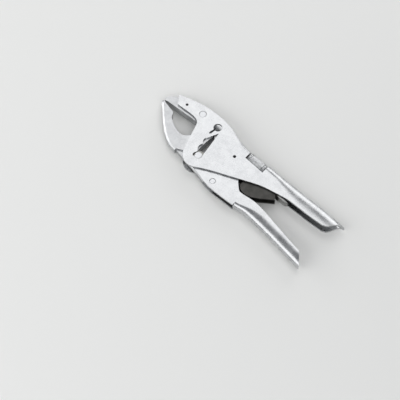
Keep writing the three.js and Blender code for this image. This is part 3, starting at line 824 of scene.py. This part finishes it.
def threaded(front, rear, crest, depth, steps=32, per_pitch=6):
    """A rod with a real helical V thread that fades out at both ends."""
    count = round((rear - front) / thread_pitch * per_pitch)
    way = Vector((math.cos(screw_slope), math.sin(screw_slope), 0))
    aside = Vector((-math.sin(screw_slope), math.cos(screw_slope), 0))
    points, faces = [], []
    for i in range(count + 1):
        distance = front + (rear - front) * i / count
        fade = min(1, (distance - front) / 0.8, (rear - distance) / 2.5)
        centre = Vector((nut_centre[0], nut_centre[1], mid)) + way * distance
        for j in range(steps):
            turn = 2 * math.pi * j / steps
            phase = (distance / thread_pitch - j / steps) % 1
            radius = crest - depth * fade * (1 - abs(2 * phase - 1))
            rise = Vector((0, 0, radius * math.sin(turn)))
            points.append(tuple(centre + aside * radius * math.cos(turn) + rise))
    for i in range(count):
        for j in range(steps):
            a, b = i * steps + j, i * steps + (j + 1) % steps
            faces.append((a, b, b + steps, a + steps))
    faces += [tuple(range(steps))[::-1], tuple(range(len(points) - steps, len(points)))]
    return body_of("adjusting_screw", points, faces)


def screw_block(start, end, half, thick):
    """A flat bar along the screw, for its flattened end."""
    ends = ((start, -half), (end, -half), (end, half), (start, half))
    return plate([along_screw(distance, offset) for distance, offset in ends], thick)


adjusting_screw = threaded(screw_front + groove[1], shoulder, screw_radius, thread_depth)
join(
    adjusting_screw,
    turned([(screw_front, 1.6), (screw_front + 0.4, 2.4), (screw_front + groove[0], 2.4),
            (screw_front + groove[0], 2.0), (screw_front + groove[1] - 0.2, 2.0),
            (screw_front + groove[1] + 0.2, 2.05), (screw_front + groove[1] + 0.4, 0.5)], 32),
    screw_block(shoulder - 2, reach_to_eye, 2.5, eye_thickness),
    punch(link_pivot, 3.6, eye_thickness),
)
cut(adjusting_screw, punch(link_pivot, 1.9))
finish_piece(adjusting_screw, "adjusting_screw_threaded", "adjusting_screw", "screw_body",
             screw_steel, 0, 40)
rivet("link_eye_rivet", "link_eye_pin", "screw_body", dark_steel, link_pivot, 1.7, 8.8, 0.25)


def tube(name, path, radius, sides=12, closed=False):
    """A round wire along a path, with flat ends, or closed into a ring."""
    path = [Vector(spot) for spot in path]
    points, faces = [], []
    side_way = None
    for i, spot in enumerate(path):
        ahead = path[(i + 1) % len(path)] if closed else path[min(i + 1, len(path) - 1)]
        behind = path[i - 1] if closed or i else path[0]
        along = (ahead - behind).normalized()
        if side_way is None:
            side_way = along.cross(Vector((0, 0, 1)))
            side_way = side_way if side_way.length > 0.1 else along.cross(Vector((0, 1, 0)))
        side_way = (side_way - along * side_way.dot(along)).normalized()
        other = along.cross(side_way)
        for j in range(sides):
            turn = 2 * math.pi * j / sides
            points.append(tuple(spot + (side_way * math.cos(turn) + other * math.sin(turn)) * radius))
    rings = len(path)
    for i in range(rings if closed else rings - 1):
        for j in range(sides):
            a, b = i * sides + j, i * sides + (j + 1) % sides
            c, d = ((i + 1) % rings) * sides + (j + 1) % sides, ((i + 1) % rings) * sides + j
            faces.append((a, b, c, d))
    if not closed:
        faces += [tuple(range(sides))[::-1], tuple(range((rings - 1) * sides, rings * sides))]
    return body_of(name, points, faces)


ring_wire = 0.4
ring_radius = 2.2 + ring_wire
ring_spot = Vector((*along_screw(screw_front + 1.7), mid))
ring_aside = Vector((-math.sin(screw_slope), math.cos(screw_slope), 0))
ring_path = [
    ring_spot + ring_aside * ring_radius * math.cos(t) + Vector((0, 0, ring_radius * math.sin(t)))
    for t in (math.radians(12 + 336 * i / 48) for i in range(49))
]
finish_piece(tube("stop_ring", ring_path, ring_wire, 10), "screw_stop_ring_wire", "screw_stop_ring",
             "screw_body", screw_steel, 0, 50)


# Adjusting nut: a turned steel barrel in the window of the fixed handle. Its middle is diamond knurled for
# the thumb, between two smooth collars with a narrow groove each. The knurl's pitch is drawn at 1.25 mm,
# coarser than the real one, so that it shows.
collar = 2.6
knurl_pitch = 1.25
knurl_depth = 0.2
bright_nut, tree = new_material("bright_nickel_on_turned_steel")
place = add_node(tree, "ShaderNodeTexCoord")
smears = noise(tree, place.outputs["Object"], 2.5, 4.0)
colour = two_tone(tree, smears.outputs["Fac"], 0.35, "#B4B5B6", 0.7, "#D4D5D6")
haze = add_node(tree, "ShaderNodeMapRange", {"To Min": 0.24, "To Max": 0.38}, {"Value": smears.outputs["Fac"]})
metal_surface(tree, colour.outputs["Color"], haze.outputs["Result"])


def nut_radius_at(distance):
    """The turned outline of the nut, before knurling."""
    end = nut_length / 2 - abs(distance)
    collar_radius = nut_radius - 0.35
    if end < 0.6:
        return collar_radius - 0.7 * (1 - end / 0.6)
    if end < 1.2:
        return collar_radius
    if end < 1.5:
        return collar_radius - 0.45
    if end < collar:
        return collar_radius
    if end < collar + 0.5:
        return collar_radius - 0.75
    return nut_radius


starts = round(2 * math.pi * nut_radius / knurl_pitch)
around, rows = starts * 6, 150
nut_points, nut_faces = [], []
way = Vector((math.cos(screw_slope), math.sin(screw_slope), 0))
for i in range(rows + 1):
    distance = nut_length * (i / rows - 0.5)
    base = nut_radius_at(distance)
    end = nut_length / 2 - abs(distance)
    centre = Vector((nut_centre[0], nut_centre[1], mid)) + way * distance
    for j in range(around):
        turn = 2 * math.pi * j / around
        drop = 0
        if end >= collar + 0.5:
            lead = distance / knurl_pitch
            waves = [abs(2 * ((starts * turn / (2 * math.pi) + sign * lead) % 1) - 1) for sign in (1, -1)]
            drop = knurl_depth * (1 - min(1, 1.15 * min(waves))) * ramp(end, collar + 0.45, collar + 0.9)
        radius = base - drop
        rise = Vector((0, 0, radius * math.sin(turn)))
        nut_points.append(tuple(centre + ring_aside * radius * math.cos(turn) + rise))
for i in range(rows):
    for j in range(around):
        a, b = i * around + j, i * around + (j + 1) % around
        nut_faces.append((a, b, b + around, a + around))
nut_faces += [tuple(range(around))[::-1], tuple(range(len(nut_points) - around, len(nut_points)))]
adjusting_nut = body_of("adjusting_nut", nut_points, nut_faces)
cut(adjusting_nut, turned([(-30, 2.7), (30, 2.7)], 40))
finish_piece(adjusting_nut, "adjusting_nut_knurled", "adjusting_nut", "nut_body",
             bright_nut, 0, 38)


# Release lever: a 1.6 mm stamping folded into a U that straddles the link and turns on the screw's pin. Its
# rounded tongue, with edges turned down, lies under the fixed handle, where a finger presses it. The finish is
# duller and darker than the handles', and the tongue's tip is painted a lighter grey as a painted highlight for
# the light its rounded tip catches.
lever_sheet = 1.6
lever_width = link_width + 2 * slide_gap + 2 * lever_sheet
tongue_level = -13.2
lever_side = (
    arc(link_pivot, 3.2, -6, 130, 16)
    + [(140, -9), (126.4, -20.6)]
    + curve((124.4, -24), (124.8, -28.4), (127.6, -31.6), (131.4, -33.4), (136, -33.7), (142.4, -32.2),
            (149.4, -28.2), (156, -23.8), (162.6, -19.4))
    + curve((160.6, -16.6), (159, -14.6), (158.4, -13.2))
    + [(158.4, -10)]
)
release_lever = cut(plate(lever_side, lever_width), plate(lever_side, lever_width - 2 * lever_sheet))
tongue_half = lever_width / 2
tongue_root = 155.4
tongue_curl = -1.7
across_steps, along_steps = 20, 12


def tongue_dip(x):
    """The tongue turns down a little towards its tip."""
    return -0.9 * ramp(x, 168, 176)


tongue_points, tongue_faces = [], []
for level in (tongue_level, tongue_level + lever_sheet):
    for j in range(across_steps + 1):
        share = 2 * j / across_steps - 1
        tongue_end = 168.4 + 6.2 * (1 - abs(share) ** 2.4) ** (1 / 2.4)
        for i in range(along_steps + 1):
            x = tongue_root + (tongue_end - tongue_root) * i / along_steps
            # both long edges turn down, away from the handle, as on a pressed finger tab
            y = level + tongue_dip(x) + tongue_curl * share**2 * ramp(x, 156, 163)
            tongue_points.append((x, y, mid + share * tongue_half))
row, sheet_size = along_steps + 1, (along_steps + 1) * (across_steps + 1)
for j in range(across_steps):
    for i in range(along_steps):
        corners = (j * row + i, j * row + i + 1, (j + 1) * row + i + 1, (j + 1) * row + i)
        tongue_faces += [corners, tuple(corner + sheet_size for corner in reversed(corners))]
rim = [i for i in range(row)] + [j * row + along_steps for j in range(1, across_steps + 1)]
rim += [across_steps * row + i for i in range(along_steps - 1, -1, -1)]
rim += [j * row for j in range(across_steps - 1, 0, -1)]
tongue_faces += [(b, a, a + sheet_size, b + sheet_size) for a, b in zip(rim, rim[1:] + rim[:1])]
join(release_lever, body_of("tongue", tongue_points, tongue_faces))
cut(release_lever, punch(link_pivot, 1.9))

lever_steel, tree = new_material("dull_plated_lever_stamping")
place = add_node(tree, "ShaderNodeTexCoord")
clouds = noise(tree, place.outputs["Object"], 7, 5.0)
grain = noise(tree, place.outputs["Object"], 0.8, 3.0)
colour = two_tone(tree, clouds.outputs["Fac"], 0.3, "#444341", 0.72, "#5F5E5B")
along_tool = add_node(tree, "ShaderNodeSeparateXYZ", links={"Vector": place.outputs["Object"]})
# Beyond 161.5 to 163.5 mm the tongue's tip is painted light grey: a painted highlight for the light its rounded
# tip catches.
highlight_start, highlight_full = ((to_row @ Vector((x, 0, 0))).x for x in (161.5, 163.5))
painted_tip_highlight = add_node(tree, "ShaderNodeMapRange", {"From Min": highlight_start, "From Max": highlight_full},
                  {"Value": along_tool.outputs["X"]})
lever_colour_with_tip_highlight = add_node(tree, "ShaderNodeMix", {"data_type": "RGBA", 7: linear("#B9B9B7")},
                {0: painted_tip_highlight.outputs["Result"], 6: colour.outputs["Color"]})
haze = add_node(tree, "ShaderNodeMapRange", {"To Min": 0.38, "To Max": 0.6}, {"Value": clouds.outputs["Fac"]})
bump = add_node(tree, "ShaderNodeBump", {"Strength": 0.6, "Distance": 0.000012},
                {"Height": grain.outputs["Fac"]})
metal_surface(tree, lever_colour_with_tip_highlight.outputs[2], haze.outputs["Result"], bump.outputs["Normal"])
finish_piece(release_lever, "release_lever_stamping", "release_lever", "lever_body",
             lever_steel, 0.2)


# Return spring: a close tension coil of 0.9 mm spring wire. It hooks from a pin in the fixed handle to one in
# the moving jaw's tail, and pulls the jaw open when the lever lets go.
wire_radius = 0.45
coil_radius = 2.0
coil_turns = 14
start_spot = Vector((*spring_anchor, mid))
pull = Vector((*spring_hook, mid)) - start_spot
span = pull.length
pull.normalize()
beside = Vector((-pull.y, pull.x, 0))
up = Vector((0, 0, 1))
anchor_loop = 1.5 + slide_gap + wire_radius
hook_loop = 1.1 + slide_gap + wire_radius
spring_path = []
for i in range(25):
    turn = 0.5 + i / 24 * math.pi * 1.5
    round_pin = pull * anchor_loop * math.cos(turn)
    spring_path.append(start_spot + round_pin + beside * anchor_loop * math.sin(turn))
coil_from, coil_to = anchor_loop + 2.6, span - hook_loop - 2.6
for i in range(1, 12):
    t = ramp(i / 12, 0, 1)
    height = coil_radius * t
    along = 0.6 + (coil_from - 0.6) * i / 12
    spring_path.append(start_spot + pull * along - beside * anchor_loop * (1 - t) + up * height)
for i in range(coil_turns * 24 + 1):
    turn = 2 * math.pi * i / 24
    along = coil_from + (coil_to - coil_from) * i / (coil_turns * 24)
    round_coil = beside * coil_radius * math.sin(turn)
    spring_path.append(start_spot + pull * along + round_coil + up * coil_radius * math.cos(turn))
for i in range(1, 12):
    t = ramp(i / 12, 0, 1)
    along = coil_to + (span - 0.4 - coil_to) * i / 12
    spring_path.append(start_spot + pull * along + beside * hook_loop * t + up * coil_radius * (1 - t))
for i in range(25):
    turn = math.pi * 0.5 - i / 24 * math.pi * 1.45
    along = span + hook_loop * math.cos(turn)
    spring_path.append(start_spot + pull * along + beside * hook_loop * math.sin(turn))
return_spring = tube("return_spring_coil", spring_path, wire_radius, 10)
return_spring.data.transform(to_row)
for face in return_spring.data.polygons:
    face.use_smooth = True
drawn_wire, tree = new_material("drawn_spring_steel_wire")
place = add_node(tree, "ShaderNodeTexCoord")
film = noise(tree, place.outputs["Object"], 1.5, 3.0)
colour = two_tone(tree, film.outputs["Fac"], 0.3, "#5B5A57", 0.7, "#8B8A86")
haze = add_node(tree, "ShaderNodeMapRange", {"To Min": 0.25, "To Max": 0.42}, {"Value": film.outputs["Fac"]})
metal_surface(tree, colour.outputs["Color"], haze.outputs["Result"])
return_spring.data.materials.append(drawn_wire)
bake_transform(return_spring)
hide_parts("return_spring")
